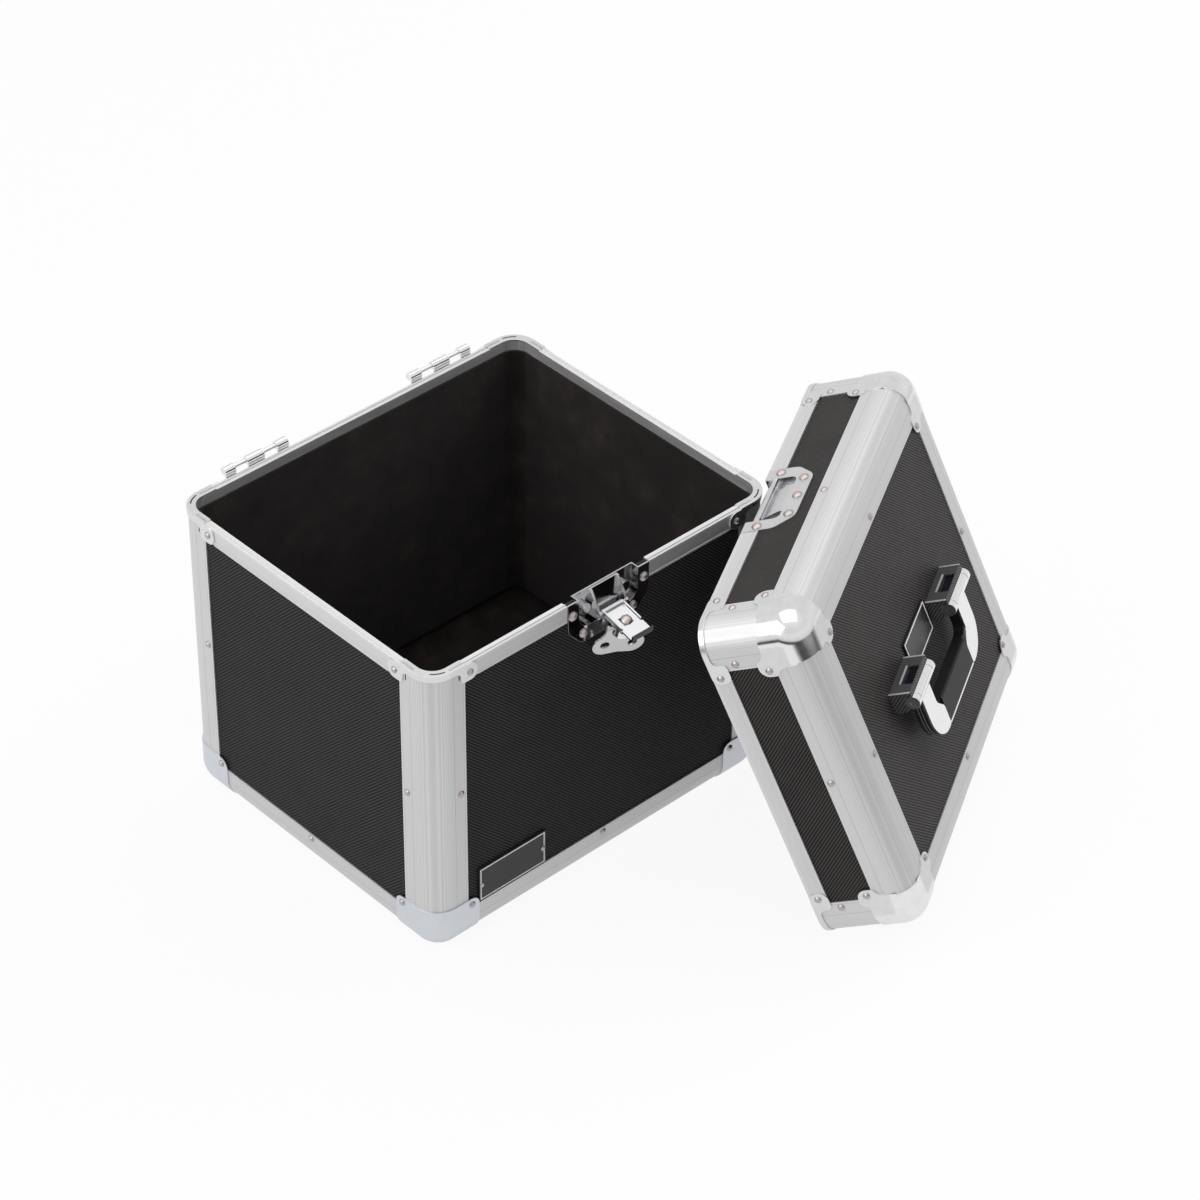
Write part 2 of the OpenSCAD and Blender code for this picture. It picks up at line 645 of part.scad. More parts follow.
// lid, drawn on its rim and then leaned against the case
lid_low = web_t;
lid_high = lid_h - edge_r;
module lid_top_panel() {
  color("dimgray") lid_frame() translate([-half_w + edge_r, -half_d + edge_r, lid_h - wall_in])
    cube([case_w - 2 * edge_r, case_d - 2 * edge_r, panel_t]);
}
module lid_front_panel() {
  color("dimgray") lid_frame() difference() {
    long_panel(lid_low, lid_high);
    translate([latch_x, 0, 0]) mirror([0, 0, 1]) upright(-half_d, -half_d + 20) keeper_2d(skin_t + 0.3, 1);
  }
}
module lid_rear_panel() {
  color("dimgray") lid_frame() mirror([0, 1, 0]) long_panel(lid_low, lid_high);
}
module lid_side_panels() {
  color("dimgray") lid_frame() for (m = [0, 1]) mirror([m, 0, 0]) short_panel(lid_low, lid_high);
}
module lid_lining() {
  color("#2b2622") lid_frame() difference() {
    union() {
      lining_tube(10.5, lid_h - edge_r);
      translate([-half_w + edge_r, -half_d + edge_r, lid_h - wall_in - lining_t])
        cube([case_w - 2 * edge_r, case_d - 2 * edge_r, lining_t]);
    }
    translate([latch_x, 0, 0]) mirror([0, 0, 1]) upright(-half_d, -half_d + 20) keeper_2d(skin_t + 0.6, 1);
  }
}
module lid_posts() {
  color("gainsboro") lid_frame() at_all_corners() {
    linear_extrude(lid_h - edge_r) bar_2d();
    translate([0, 0, web_t]) linear_extrude(lid_h - lid_side_leg - web_t) angle_2d(lid_leg, lid_leg);
  }
}
module lid_top_edges_long() {
  color("gainsboro") lid_frame() for (m = [0, 1])
    mirror([0, m, 0]) translate([0, 0, lid_h]) mirror([0, 0, 1]) edge_bar(lid_side_leg, lid_leg);
}
module lid_top_edges_short() {
  color("gainsboro") lid_frame() for (m = [0, 1])
    mirror([m, 0, 0]) translate([0, 0, lid_h]) mirror([0, 0, 1]) edge_bar_side(lid_side_leg, lid_leg);
}
module lid_rims_long() {
  color("gainsboro") lid_frame() mirror([0, 0, 1]) {
    translate([0, -half_d, 0]) {
      rim_strip(-half_w + edge_r, latch_x - plate_half - 0.2, false, half_w, lid_leg);
      rim_strip(latch_x + plate_half + 0.2, half_w - edge_r, false, half_w, lid_leg);
    }
    mirror([0, 1, 0]) translate([0, -half_d, 0])
      rim_strip(-half_w + edge_r, half_w - edge_r, false, half_w, lid_leg);
  }
}
module lid_rims_short() {
  color("gainsboro") lid_frame() mirror([0, 0, 1]) for (m = [0, 1]) mirror([m, 0, 0]) rim_side(0, false, lid_leg);
}
// clamps of the lid stop at the rim, so that both rims can meet
module lid_rim_clamps() {
  color("silver") lid_frame() mirror([0, 0, 1]) at_all_corners() difference() {
    rim_clamp(rim_h + 1, lid_leg - 6.6);
    translate([-5, -5, 0]) cube([leg + 20, leg + 20, 5]);
  }
}
module lid_ball(sx, sy) {
  lid_frame() translate([0, 0, lid_h]) mirror([0, 0, 1]) at_corner(sx, sy)
    corner_cap(cap_len, cap_len) on_three_faces() {
      cap_face();
      cap_face();
    }
}
module lid_ball_front_left() { color("white") lid_ball(-1, -1); }
module lid_ball_front_right() { color("white") lid_ball(1, -1); }
module lid_ball_rear_left() { color("white") lid_ball(-1, 1); }
module lid_ball_rear_right() { color("white") lid_ball(1, 1); }
module lid_rivets() {
  color("rosybrown") lid_frame() {
    at_all_corners() {
      both_faces() face_rivets([[45.3, 8, cap_t], [33.7, 25.3, 0], [43.9, lid_h - 41.5, cap_t]]);
      translate([43.5, 43.5, lid_h + cap_t]) rivet();
    }
    for (m = [0, 1]) {
      mirror([0, m, 0]) translate([0, -half_d, lid_h - 30.6]) rotate([90, 0, 0]) rivet();
      mirror([m, 0, 0]) translate([-half_w, 0, lid_h - 30.6]) rotate([0, -90, 0]) rivet();
      mirror([0, m, 0]) translate([0, -half_d + 34, lid_h]) rivet();
      mirror([m, 0, 0]) translate([-half_w + 34, 0, lid_h]) rivet();
    }
    plate_rivets(latch_x, -half_d - 0.4, 0, 1, [[-40, 13], [-27, keeper_high - 8.3], [0, keeper_high - 7],
      [27, keeper_high - 7.5], [40, 13]]);
  }
}
module lid_badge_plate() {
  half = bracket_mid - bracket_len / 2 - 5.9;
  color("#303030") lid_frame() translate([handle_x - half, -19.2, lid_h - skin_t])
    cube([2 * half, 31.5, skin_t + 0.8]);
}
// keeper on the lid: plate, recess that is open at the rim, ramp, bar that the hook holds
keeper_half = dish_half - 2;
keeper_high = lid_h - lid_side_leg - keeper_clear;
keeper_deep = keeper_high - 15.5;
module keeper_2d(grow, low) {
  side = [[keeper_half + grow, low], [keeper_half + grow, -keeper_deep - grow]];
  polygon(rounded(concat(side, mirrored(side)), [0, 6 + grow, 6 + grow, 0]));
}
module latch_keeper() {
  color("silver") lid_frame() translate([latch_x, 0, 0]) {
    mirror([0, 0, 1]) difference() {
      union() {
        mirror([0, 0, 1]) upright(-half_d - 0.4, -half_d + skin_t) plate_2d(keeper_high);
        upright(-half_d, -half_d + dish_deep + skin_t) keeper_2d(skin_t, 0);
      }
      upright(-half_d - 5, -half_d + dish_deep) keeper_2d(0, 5);
    }
    translate([-keeper_half - 0.5, -half_d + 0.6, lip_low]) cube([2 * keeper_half + 1, 2.2, 4]);
    translate([-20, -half_d, 0]) rotate([90, 0, 90]) linear_extrude(40)
      polygon([[dish_deep + 0.5, 1], [dish_deep + 0.5, keeper_deep + 0.5], [0.4, keeper_deep + 0.5],
        [0.4, keeper_deep - 4]]);
  }
}
module lid_hinge_hooks() {
  color("silver") lid_frame() for (s = [-1, 1]) translate([s * hinge_x, 0, 0]) mirror([s > 0 ? 1 : 0, 0, 0]) {
    translate([-hinge_half, half_d + 0.5, 10]) cube([2 * hinge_half, 1.7, 26]);
    for (x = [-16.9, 15.4]) {
      translate([x - hook_w / 2, half_d + 0.7, rod_up]) cube([hook_w, 1.5, 7]);
      translate([x - hook_w / 2, rod_y, rod_up]) rotate([90, 0, 90]) linear_extrude(hook_w) difference() {
        circle(hook_r, $fn = 64);
        circle(rod_r + 0.2, $fn = 64);
        polygon([[0, 0], [6, -12], [14, 0], [6, 12]]);
      }
    }
  }
}

// handle on the lid
module handle_bracket(side) {
  mid = handle_x + side * bracket_mid;
  box_h = pivot_up + 1.5;
  lid_frame() difference() {
    translate([mid - bracket_len / 2, 0, lid_h]) rotate([90, 0, 90]) linear_extrude(bracket_len)
      polygon(rounded([[-bracket_back, -skin_t], [bracket_front, -skin_t], [bracket_front, bracket_step],
        [bracket_front - 6.5, box_h], [-bracket_back, box_h]], [0, 0, 5, 3, 2]));
    translate([mid - bracket_len, 0, bail_z]) rotate([0, 90, 0])
      cylinder(h = 2 * bracket_len, r = barrel_r + hinge_gap, $fn = 64);
    translate([mid - window_wide / 2, -bracket_back - 1, lid_h + window_low])
      cube([window_wide, 3.4, window_high]);
  }
}
module handle_bracket_left() { color("#303030") handle_bracket(-1); }
module handle_bracket_right() { color("#303030") handle_bracket(1); }
// fixed end caps of the pivot barrels, each keyed to its bracket
cap_w = 7;
arm_low = -0.3;
arm_t = 2.4;
module handle_barrel_caps() {
  color("whitesmoke") lid_frame() for (side = [-1, 1], s = [-1, 1]) {
    x = handle_x + side * bracket_mid + s * (bracket_len / 2 - cap_w / 2);
    difference() {
      translate([x, 0, bail_z]) rotate([0, 90, 0]) cylinder(h = cap_w, r = barrel_r, center = true, $fn = 64);
      translate([x, 0, bail_z]) rotate([0, 90, 0]) cylinder(h = cap_w + 2, r = 2.03, center = true, $fn = 32);
    }
    translate([x, 0, bail_z]) rotate([0, 90, 0]) intersection() {
      cylinder(h = cap_w, r = barrel_r + hinge_gap, center = true, $fn = 64);
      translate([3, -3, -cap_w]) cube([6, 6, 2 * cap_w]);
    }
  }
}
module handle_pins() {
  color("silver") lid_frame() for (side = [-1, 1])
    translate([handle_x + side * bracket_mid, 0, bail_z]) rotate([0, 90, 0])
      cylinder(h = bracket_len, r = 2, center = true, $fn = 32);
}
// metal arms, turning on the pins, that round the corners of the grip and widen along it
arm_root = bracket_len - 2 * cap_w - 0.8;
arm_out = bracket_mid + arm_wide / 2;
arm_in = bracket_mid - arm_wide / 2;
arm_end = arm_in - 11.5;
bail_round = arm_wide + 6;
grip_in = bail_reach - grip_deep;
module handle_bail() {
  color("whitesmoke") lid_frame() for (side = [-1, 1]) {
    mid = side * bracket_mid;
    translate([handle_x, 0, bail_z]) difference() {
      union() {
        translate([mid, 0, 0]) rotate([0, 90, 0]) cylinder(h = arm_root, r = barrel_r, center = true, $fn = 64);
        translate([0, 0, arm_low]) mirror([side > 0 ? 0 : 1, 0, 0]) linear_extrude(arm_t) polygon(rounded(
          [[arm_in, 0], [arm_out, 0], [arm_out, bail_reach + 1], [arm_end, bail_reach + 1],
           [arm_end, grip_in + 8], [arm_in, grip_in - 3]],
          [0, 0, bail_round, 3, 5, 7], 10));
      }
      translate([mid, 0, 0]) rotate([0, 90, 0]) cylinder(h = 60, r = 2 + fit, center = true, $fn = 32);
    }
  }
}
// soft grip: a bow under both arms, and a pad that fills the space between their ends
grip_low = -9.5;
module handle_grip() {
  side = [[arm_in + 0.4, grip_in], [arm_in + 0.4, 11], [arm_out - 0.4, 11], [arm_out - 0.4, bail_reach + 0.6]];
  color("#202020") lid_frame() translate([handle_x, 0, bail_z]) {
    translate([0, 0, grip_low]) linear_extrude(arm_low - grip_low)
      polygon(rounded(concat(side, mirrored(side)), [9, 2, 2, bail_round - 0.4, bail_round - 0.4, 2, 2, 9], 10));
    translate([0.3 - arm_end, bail_reach - 1.3, arm_low - e]) mirror([0, 1, 0])
      rotate([90, 0, 90]) linear_extrude(2 * arm_end - 0.6)
      polygon(rounded([[0, 0], [0, arm_t], [grip_deep - 1.5, arm_t], [grip_deep - 1.5, 0]], [0, 0.6, 2, 0]));
  }
}
// bright strip along the outer edge of the grip
module handle_trim() {
  half = arm_end - 0.3;
  color("white") lid_frame() translate([handle_x - half, bail_reach - 1.1, bail_z + arm_low])
    cube([2 * half, 2.1, arm_t]);
}

case_bottom_panel();
case_front_panel();
case_rear_panel();
case_left_panel();
case_right_panel();
case_wall_lining();
case_floor_lining();
case_post_front_left();
case_post_front_right();
case_post_rear_left();
case_post_rear_right();
case_bottom_edges_long();
case_bottom_edges_short();
case_rim_front();
case_rim_rear();
case_rim_left();
case_rim_right();
case_rim_clamps();
case_foot_front_left();
case_foot_front_right();
case_foot_rear_left();
case_foot_rear_right();
case_rivets();
case_badge_plate();
latch_dish();
latch_base();
latch_hinge_pin();
latch_carrier();
latch_hook();
latch_cam();
latch_wing();
case_hinge_left();
case_hinge_right();
case_hinge_rods();
lid_top_panel();
lid_front_panel();
lid_rear_panel();
lid_side_panels();
lid_lining();
lid_posts();
lid_top_edges_long();
lid_top_edges_short();
lid_rims_long();
lid_rims_short();
lid_rim_clamps();
lid_ball_front_left();
lid_ball_front_right();
lid_ball_rear_left();
lid_ball_rear_right();
lid_rivets();
lid_badge_plate();
latch_keeper();
lid_hinge_hooks();
handle_bracket_left();
handle_bracket_right();
handle_barrel_caps();
handle_bail();
handle_grip();
handle_trim();
handle_pins();
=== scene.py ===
import json
import math
import bmesh
import bpy
from mathutils import Euler, Matrix, Vector

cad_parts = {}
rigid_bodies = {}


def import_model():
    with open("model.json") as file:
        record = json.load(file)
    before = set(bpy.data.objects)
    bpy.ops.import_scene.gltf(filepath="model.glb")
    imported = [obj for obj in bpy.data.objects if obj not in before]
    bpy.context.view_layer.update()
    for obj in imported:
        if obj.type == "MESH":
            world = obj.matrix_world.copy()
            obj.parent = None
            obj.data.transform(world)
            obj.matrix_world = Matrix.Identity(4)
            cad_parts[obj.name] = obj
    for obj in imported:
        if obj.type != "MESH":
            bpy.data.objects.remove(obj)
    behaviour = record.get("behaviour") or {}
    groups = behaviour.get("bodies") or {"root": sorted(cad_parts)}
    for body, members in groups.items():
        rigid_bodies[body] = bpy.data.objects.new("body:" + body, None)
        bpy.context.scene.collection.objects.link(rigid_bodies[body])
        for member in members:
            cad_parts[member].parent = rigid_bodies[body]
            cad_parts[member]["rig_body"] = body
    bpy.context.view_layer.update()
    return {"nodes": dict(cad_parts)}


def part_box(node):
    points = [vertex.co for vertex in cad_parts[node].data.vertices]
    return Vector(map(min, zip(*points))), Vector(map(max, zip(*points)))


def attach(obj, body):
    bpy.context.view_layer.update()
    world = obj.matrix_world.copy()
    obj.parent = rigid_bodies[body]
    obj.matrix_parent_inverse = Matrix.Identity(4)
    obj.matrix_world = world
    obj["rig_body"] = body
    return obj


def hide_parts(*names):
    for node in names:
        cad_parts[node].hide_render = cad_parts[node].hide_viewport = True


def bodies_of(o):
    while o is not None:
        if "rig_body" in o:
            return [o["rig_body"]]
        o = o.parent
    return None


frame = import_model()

NODES = frame["nodes"]
MM = 0.001

# ---------------------------------------------------------------- places, in metres
TONGUE = 1.2 * MM  # height of the tongue on the rim of the case
HALF_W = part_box("case_bottom_edges_short")[1].x
HALF_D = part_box("case_bottom_edges_long")[1].y
CASE_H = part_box("case_rim_rear")[1].z - TONGUE
FOOT_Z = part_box("case_bottom_edges_long")[0].z

# the lid stands on the floor and leans: the middle of its rim plane, its lean and its turn
LID_H = 94.2 * MM
LID_AT = Vector((202.5, -224.7, 159.037)) * MM
LID_TILT = math.radians(-67.34)
LID_TURN = math.radians(-149.92)
LID = Matrix.Translation(LID_AT) @ Euler((LID_TILT, 0, LID_TURN)).to_matrix().to_4x4()

# the handle's middle along the lid, the middle of a bracket from there, the pivot over the lid
HANDLE_X = 1.6 * MM
BRACKET_MID = 66.4 * MM
PIVOT_UP = 18 * MM

# the hinge of the latch flap, in front of the face and below the rim, and how far the flap hangs open
FLAP_AT = Vector((2.8 * MM, -HALF_D - 4.5 * MM, CASE_H - 22.5 * MM))
FLAP = Matrix.Translation(FLAP_AT) @ Matrix.Rotation(math.radians(104.7), 4, "X")

# the same in mm: half width, half depth and height of the case, the underside of its edges, height of the lid
H, D, C = HALF_W / MM, HALF_D / MM, CASE_H / MM
F, L = FOOT_Z / MM, LID_H / MM
EDGE_R = 23  # outer radius of every rounded edge, mm
HOLLOW = (15.5, 17.6)  # distances from its centre between which a face is the lined inner side, mm
POST_LEG, FOOT_LEG, LID_LEG, RIM_LEG = 38, 35.4, 39.6, 17.5  # widths of the edge strips, mm


# ---------------------------------------------------------------- materials
class Nodes:
    """A node tree with short names for the nodes that it needs."""

    def __init__(self, tree):
        self.tree = tree

    def node(self, kind, inputs=None, **props):
        n = self.tree.nodes.new(kind)
        for key, value in props.items():
            setattr(n, key, value)
        for key, value in (inputs or {}).items():
            if isinstance(value, bpy.types.NodeSocket):
                self.tree.links.new(value, n.inputs[key])
            else:
                n.inputs[key].default_value = value
        return n

    def math(self, op, *args):
        return self.node("ShaderNodeMath", dict(enumerate(args)), operation=op).outputs[0]

    def ramp(self, fac, stops):
        n = self.node("ShaderNodeValToRGB", {"Fac": fac})
        while len(n.color_ramp.elements) < len(stops):
            n.color_ramp.elements.new(0.5)
        for el, (at, value) in zip(n.color_ramp.elements, stops):
            el.position = at
            el.color = (*value, 1) if isinstance(value, tuple) else (value, value, value, 1)
        return n.outputs[0]

    def span(self, value, a, b, c, d):
        return self.node("ShaderNodeMapRange", {
            "Value": value, "From Min": a, "From Max": b, "To Min": c, "To Max": d}).outputs[0]


class Look(Nodes):
    """A material, in the frame of the case or of the lid."""

    def __init__(self, name, lid=False):
        self.mat = bpy.data.materials.new(name)
        self.mat.use_nodes = True
        super().__init__(self.mat.node_tree)
        self.bsdf = self.tree.nodes["Principled BSDF"]
        self.lid = lid
        self.place = None

    def coord(self):
        """Millimetres in the frame of the case, or in the frame of the lid."""
        if self.place is None:
            out = self.node("ShaderNodeTexCoord").outputs["Object"]
            if self.lid:
                out = self.node("ShaderNodeMapping", {
                    "Vector": out, "Location": LID_AT, "Rotation": (LID_TILT, 0, LID_TURN),
                }, vector_type="TEXTURE").outputs[0]
            self.place = self.node("ShaderNodeVectorMath", {0: out, "Scale": 1 / MM},
                                   operation="SCALE").outputs[0]
        return self.place

    def noise(self, scale, stretch=(1, 1, 1), detail=3.0, rough=0.55):
        v = self.node("ShaderNodeVectorMath", {0: self.coord(), 1: stretch}, operation="MULTIPLY").outputs[0]
        return self.node("ShaderNodeTexNoise", {
            "Vector": v, "Scale": scale, "Detail": detail, "Roughness": rough}).outputs["Fac"]

    def grey(self, level, blue):
        """Grey of this level with a little more blue."""
        return self.node("ShaderNodeCombineColor", {
            "Red": level, "Green": level, "Blue": self.math("MULTIPLY", level, blue)}).outputs[0]

    def set(self, **sockets):
        for key, value in sockets.items():
            key = key.replace("_", " ")
            if isinstance(value, bpy.types.NodeSocket):
                self.tree.links.new(value, self.bsdf.inputs[key])
            else:
                self.bsdf.inputs[key].default_value = value
        return self

    def bump(self, height, depth, strength=1.0):
        n = self.node("ShaderNodeBump", {"Height": height, "Distance": depth * MM, "Strength": strength})
        self.tree.links.new(n.outputs[0], self.bsdf.inputs["Normal"])
        return self


def laminate(name, lid, dark, light, pitch=2.5, gloss=0.12):
    """Black board with fine diagonal ribs, pitch mm apart across them."""
    k = Look(name, lid)
    s = k.node("ShaderNodeVectorMath", {0: k.coord(), 1: (1, 1, 1)}, operation="DOT_PRODUCT").outputs["Value"]
    wave = k.math("SINE", k.math("MULTIPLY", s, 2 * math.pi / (pitch * math.sqrt(2))))
    wave = k.span(wave, -1, 1, 0, 1)
    patch = k.noise(0.02)
    middle = tuple((a + b) / 2 for a, b in zip(dark, light))
    tone = k.ramp(k.math("ADD", k.math("MULTIPLY", wave, 0.8), k.math("MULTIPLY", patch, 0.2)),
                  [(0.1, dark), (0.55, middle), (0.95, light)])
    k.set(Base_Color=tone, Roughness=k.span(k.noise(0.3), 0.3, 0.7, 0.45, 0.55), Specular_IOR_Level=gloss)
    return k.bump(wave, 0.25, 0.7).mat


RIB_PITCH = 1.45  # of the fine ribs of an extrusion, mm
RIBS_FROM = 3.0  # where they begin, mm from the corner of the box
GROOVE, LIP = 0.66, 0.93  # places of the groove and the rolled edge, as shares of the way across the strip


def aluminium(name, lid, weights, offset, leg, tone=0.70):
    """Extrusion: fine ribs along its length, then a groove, a plain band and a rolled edge. The groove and a
    line before the rolled edge are painted darker as painted shade, and the rolled edge is painted lighter as
    a painted highlight.
    weights and offset give the way across it, in mm from the corner of the box."""
    k = Look(name, lid)
    p = k.node("ShaderNodeVectorMath", {0: k.coord()}, operation="ABSOLUTE").outputs[0]
    t = k.node("ShaderNodeVectorMath", {0: p, 1: weights}, operation="DOT_PRODUCT").outputs["Value"]
    t = k.math("ADD", t, offset)
    u = k.math("DIVIDE", t, leg)
    ribs = k.math("SINE", k.math("MULTIPLY", t, 2 * math.pi / RIB_PITCH))
    ribs = k.span(ribs, -1, 1, 0, 1)
    first = RIBS_FROM / leg
    zone = k.ramp(u, [(first, 0.0), (first + 0.02, 1.0), (GROOVE - 0.03, 1.0), (GROOVE - 0.01, 0.0)])
    level = k.ramp(u, [(0.0, 0.5), (GROOVE - 0.012, 0.5), (GROOVE, 0.0), (GROOVE + 0.02, 0.5),
                       (LIP, 0.5), (LIP + 0.02, 0.2), (LIP + 0.035, 1.0)])
    height = k.math("ADD", k.math("MULTIPLY", k.math("MULTIPLY", ribs, zone), 0.35), level)
    streak = k.noise(0.6, tuple(0.04 if w == 0 else 1.0 for w in weights))
    shade = k.math("MULTIPLY", k.math("MULTIPLY", ribs, zone), 0.08)
    shade = k.math("ADD", k.math("SUBTRACT", tone, shade), k.span(streak, 0.3, 0.7, -0.012, 0.012))
    # painted shade in the groove and just before the rolled edge, painted highlight on the rolled edge
    groove_shade_edge_highlight = k.ramp(u, [(0.0, 1.0), (GROOVE - 0.012, 1.0), (GROOVE, 0.72), (GROOVE + 0.02, 0.94),
                       (LIP, 0.94), (LIP + 0.02, 0.8), (LIP + 0.035, 1.0)])
    k.set(Base_Color=k.grey(k.math("MULTIPLY", shade, groove_shade_edge_highlight), 1.005), Metallic=1.0,
          Roughness=k.span(streak, 0.3, 0.7, 0.54, 0.62))
    return k.bump(height, 0.10, 0.21).mat


def metal(name, tone, rough, lid=False, scale=0.25, grain=0.0):
    """Plated or polished metal with a little unevenness in its gloss."""
    k = Look(name, lid)
    n = k.noise(scale)
    f = k.noise(2.5, detail=4.0)
    col = k.ramp(n, [(0.3, tuple(c * 0.96 for c in tone)), (0.7, tone)])
    k.set(Base_Color=col, Metallic=1.0, Roughness=k.span(n, 0.3, 0.7, rough - 0.03, rough + 0.03))
    return k.bump(f, 0.03, 0.05 + grain).mat


def ball_plate(name):
    """Corner cap of the lid: satin where it lies on a face, mirror-bright where it goes round an edge."""
    k = Look(name, True)
    p = k.node("ShaderNodeVectorMath", {0: k.coord()}, operation="ABSOLUTE").outputs[0]
    xyz = k.node("ShaderNodeSeparateXYZ", {0: p}).outputs
    near = [k.span(k.math("SUBTRACT", size, xyz[i]), EDGE_R - 3.5, EDGE_R + 0.5, 1, 0)
            for i, size in enumerate((H, D, L))]
    count = k.math("ADD", k.math("ADD", near[0], near[1]), near[2])
    bright = k.span(count, 1.2, 1.9, 0, 1)
    n = k.noise(0.12, detail=5.0)
    f = k.noise(1.8, detail=4.0)
    rough = k.math("ADD", k.span(bright, 0, 1, 0.42, 0.12), k.span(n, 0.3, 0.7, -0.03, 0.03))
    shade = k.math("ADD", k.span(bright, 0, 1, 0.74, 0.80), k.span(n, 0.3, 0.7, -0.035, 0.035))
    k.set(Base_Color=k.grey(shade, 1.01), Metallic=1.0, Roughness=rough)
    return k.bump(f, 0.02, 0.12).mat


def felt(name, lid):
    """Dark brown lining, cloudy and finely uneven."""
    k = Look(name, lid)
    n = k.noise(0.035, detail=5.0)
    f = k.noise(1.6, detail=4.0, rough=0.7)
    mix = k.math("ADD", k.math("MULTIPLY", n, 0.75), k.math("MULTIPLY", f, 0.25))
    col = k.ramp(mix, [(0.3, (0.008, 0.006, 0.006)), (0.55, (0.020, 0.015, 0.014)),
                       (0.72, (0.040, 0.031, 0.028))])
    k.set(Base_Color=col, Roughness=0.95, Sheen_Weight=0.25, Sheen_Roughness=0.4, Specular_IOR_Level=0.15)
    return k.bump(f, 0.5, 0.6).mat


def plastic(name, dark, light, rough):
    """Smooth enamel or plastic between two close tones."""
    k = Look(name)
    f = k.noise(1.5, detail=4.0)
    col = k.ramp(k.noise(0.08), [(0.3, dark), (0.7, light)])
    k.set(Base_Color=col, Roughness=k.span(f, 0.3, 0.7, rough - 0.05, rough + 0.05), Specular_IOR_Level=0.4)
    return k.bump(f, 0.08, 0.35).mat


def grip_rubber(name, heights, width, plain):
    """Black rubber with light lines round its ends, at heights in mm from the pivot of the handle,
    and none within plain mm of its middle."""
    k = Look(name, True)
    f = k.noise(1.5, detail=4.0)
    xyz = k.node("ShaderNodeSeparateXYZ", {0: k.coord()}).outputs
    z = k.math("SUBTRACT", xyz["Z"], (LID_H + PIVOT_UP) / MM)
    lines = [k.math("LESS_THAN", k.math("ABSOLUTE", k.math("SUBTRACT", z, h)), width / 2) for h in heights]
    ends = k.math("GREATER_THAN", k.math("ABSOLUTE", k.math("SUBTRACT", xyz["X"], HANDLE_X / MM)), plain)
    col = k.ramp(k.math("MULTIPLY", k.math("ADD", lines[0], lines[1]), ends),
                 [(0.0, (0.010, 0.010, 0.011)), (1.0, (0.28, 0.28, 0.28))])
    k.set(Base_Color=col, Roughness=k.span(f, 0.3, 0.7, 0.42, 0.52), Specular_IOR_Level=0.25)
    return k.bump(f, 0.12, 0.3).mat


# one laminate in two tones as painted light: the case's is painted darker as painted shade, the lid's is
# painted lighter as painted light
panel_case_painted_shade = laminate("laminate_case_painted_shade", False, (0.0012, 0.0012, 0.0012), (0.050, 0.048, 0.047), gloss=0.08)
panel_lid_painted_light = laminate("laminate_lid_painted_light", True, (0.0015, 0.0015, 0.0015), (0.074, 0.068, 0.066))
# the same aluminium in different tones as painted light: the posts, the rims and the lid's edges are painted
# lighter than the case's bottom edges
alu_post = aluminium("edge_posts", False, (-1, -1, 0), H + D, POST_LEG, tone=0.72)
alu_long = aluminium("edge_bottom_long", False, (0, -1, 1), D - F, FOOT_LEG)
alu_short = aluminium("edge_bottom_short", False, (-1, 0, 1), H - F, FOOT_LEG)
alu_rim = aluminium("edge_rim", False, (0, 0, -1), C, RIM_LEG, tone=0.74)
lid_post = aluminium("edge_lid_posts", True, (-1, -1, 0), H + D, LID_LEG, tone=0.74)
lid_long = aluminium("edge_lid_long", True, (0, -1, -1), D + L, LID_LEG, tone=0.74)
lid_short = aluminium("edge_lid_short", True, (-1, 0, -1), H + L, LID_LEG, tone=0.74)
lid_rim = aluminium("edge_lid_rim", True, (0, 0, 1), 0, RIM_LEG, tone=0.74)
chrome = metal("chrome", (0.86, 0.86, 0.87), 0.12)
# darker copy of the chrome for the latch dish and its base: painted dark reflection
dish_chrome_painted_reflection = metal("dish_chrome_painted_reflection", (0.58, 0.58, 0.59), 0.12)
nickel = metal("clamp_nickel", (0.76, 0.76, 0.77), 0.30, scale=0.1)
flap_satin = metal("flap_satin", (0.64, 0.64, 0.65), 0.36, scale=0.1)
ball_metal = ball_plate("ball_plate")
foot_metal = metal("foot_satin", (0.70, 0.72, 0.76), 0.38, scale=0.1, grain=0.1)
rivet_core = metal("rivet_core", (0.56, 0.48, 0.46), 0.40)
rivet_rim = metal("rivet_rim", (0.42, 0.40, 0.40), 0.30)
lining = felt("felt_case", False)
lining_lid = felt("felt_lid", True)
keeper_satin = metal("keeper_satin", (0.70, 0.70, 0.71), 0.42, lid=True, scale=0.1)
# darker metal for the walls of the keeper's recess: painted shade and painted reflection
keeper_walls_painted_shade = metal("keeper_walls_painted_shade", (0.34, 0.34, 0.35), 0.16, lid=True)
lip_dark = metal("hook_lip", (0.05, 0.05, 0.055), 0.30)
bright_edge = metal("bright_edge", (0.90, 0.90, 0.90), 0.55, lid=True)
# near-black for the slots of the rim clamps: painted shade
slot_painted_shade = plastic("slot_painted_shade", (0.006, 0.006, 0.006), (0.010, 0.010, 0.010), 0.8)
# black ribbed bracket: the ribs are real, and the light stripes on them are painted reflection
bracket_ribs_painted_reflection = laminate("bracket_ribbed_painted_reflection", True, (0.004, 0.004, 0.004), (0.130, 0.128, 0.130), 2.6, 0.4)
rubber = grip_rubber("grip_rubber", (-3.4, -6.2), 0.6, 60)
badge = plastic("badge_enamel", (0.010, 0.010, 0.011), (0.016, 0.016, 0.017), 0.28)
window = plastic("window_dark", (0.004, 0.005, 0.009), (0.008, 0.009, 0.014), 0.08)
white_line = plastic("badge_line", (0.80, 0.80, 0.80), (0.88, 0.88, 0.88), 0.35)


